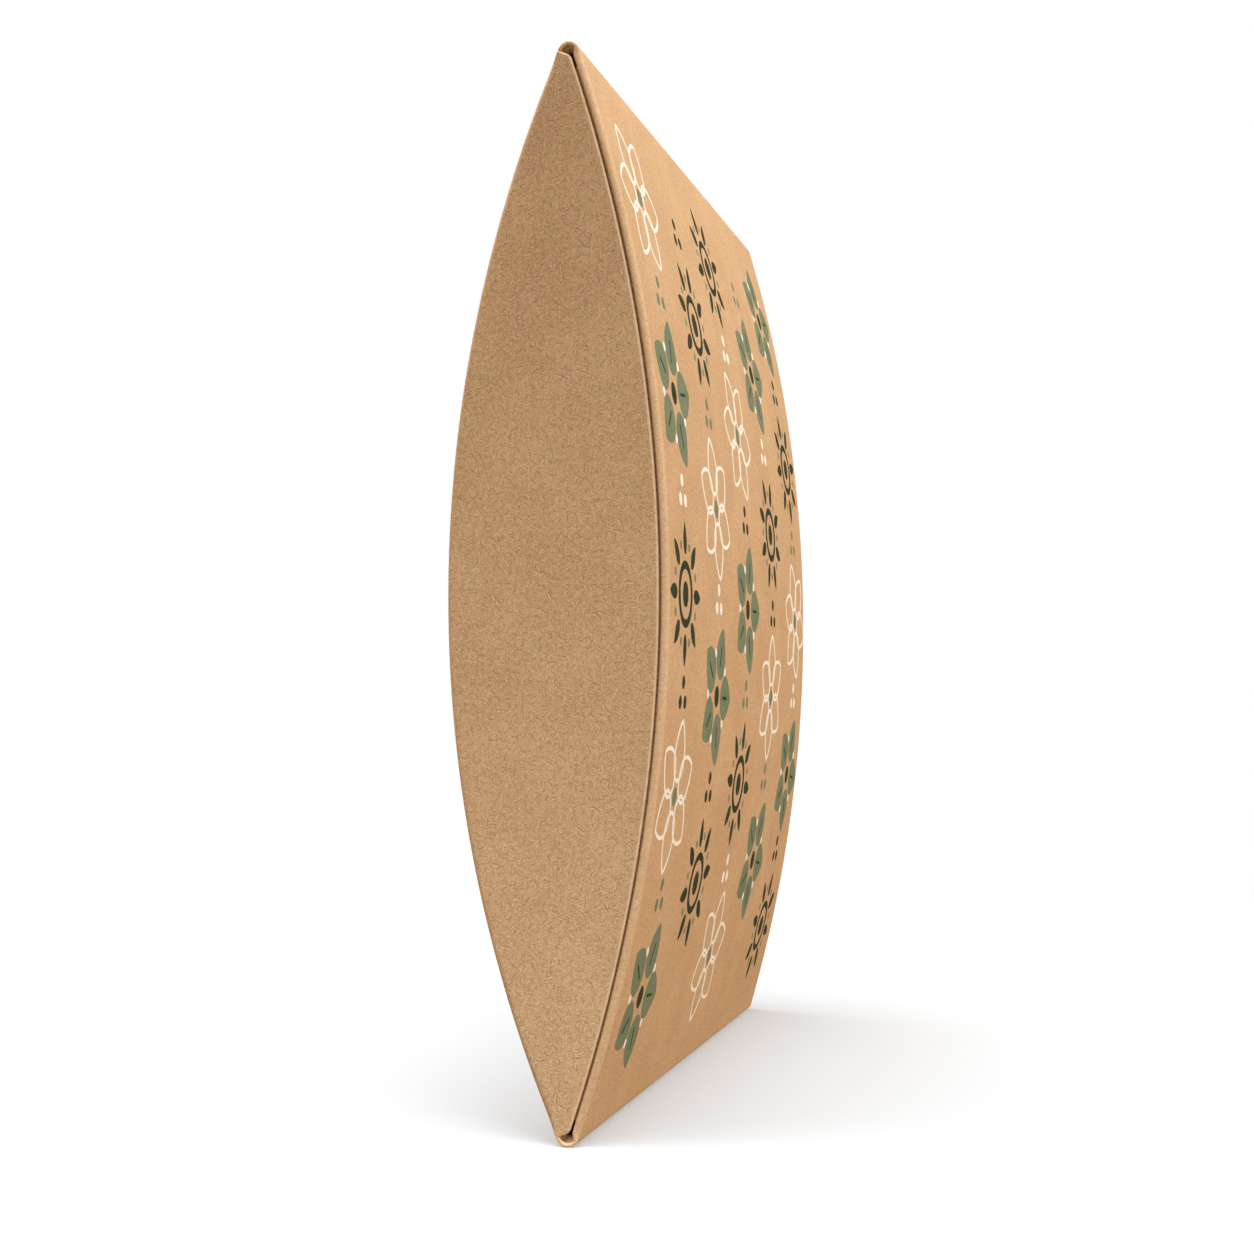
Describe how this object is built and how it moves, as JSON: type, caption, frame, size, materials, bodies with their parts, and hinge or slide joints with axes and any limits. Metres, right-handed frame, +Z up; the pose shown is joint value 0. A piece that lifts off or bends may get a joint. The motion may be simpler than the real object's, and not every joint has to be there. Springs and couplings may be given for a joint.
{
  "type": "pillow box",
  "caption": "Kraft board pillow box standing on a long fold, with bowed front and back panels and dished ends closed by curved flaps that swing open.",
  "frame": {"origin": "underside of the bottom fold, half way along it", "axes": "+X along the folds towards the right end, -Y out of the printed front panel, +Z up from the bottom fold to the top fold"},
  "size_m": [0.108, 0.0254, 0.12],
  "materials": {
    "kraft_board": "matte",
    "glue": "satin"
  },
  "bodies": {
    "sleeve": {"front_panel": "kraft_board", "back_panel": "kraft_board", "bottom_fold": "kraft_board", "top_fold": "kraft_board", "glue_tab": "kraft_board", "glue_line": "glue", "left_front_crease": "kraft_board", "left_back_crease": "kraft_board", "right_front_crease": "kraft_board", "right_back_crease": "kraft_board"},
    "left_outer": {"left_outer_flap": "kraft_board"},
    "left_inner": {"left_inner_flap": "kraft_board"},
    "right_outer": {"right_outer_flap": "kraft_board"},
    "right_inner": {"right_inner_flap": "kraft_board"}
  },
  "joints": [
    {"name": "left_outer_fold", "type": "hinge", "parent": "sleeve", "child": "left_outer", "pos_m": [-0.0495, 0.0152, 0.06], "axis": [0, 0, -1], "range_deg": [0, 90]},
    {"name": "left_inner_fold", "type": "hinge", "parent": "sleeve", "child": "left_inner", "pos_m": [-0.0495, -0.0102, 0.06], "axis": [0, 0, 1], "range_deg": [0, 60]},
    {"name": "right_outer_fold", "type": "hinge", "parent": "sleeve", "child": "right_outer", "pos_m": [0.0495, 0.0152, 0.06], "axis": [0, 0, 1], "range_deg": [0, 90]},
    {"name": "right_inner_fold", "type": "hinge", "parent": "sleeve", "child": "right_inner", "pos_m": [0.0495, -0.0102, 0.06], "axis": [0, 0, -1], "range_deg": [0, 60]}
  ],
  "couplings": [
    {"joint": "left_inner_fold", "follows": "left_outer_fold", "ratio": 0.6666},
    {"joint": "right_inner_fold", "follows": "right_outer_fold", "ratio": 0.6666}
  ]
}
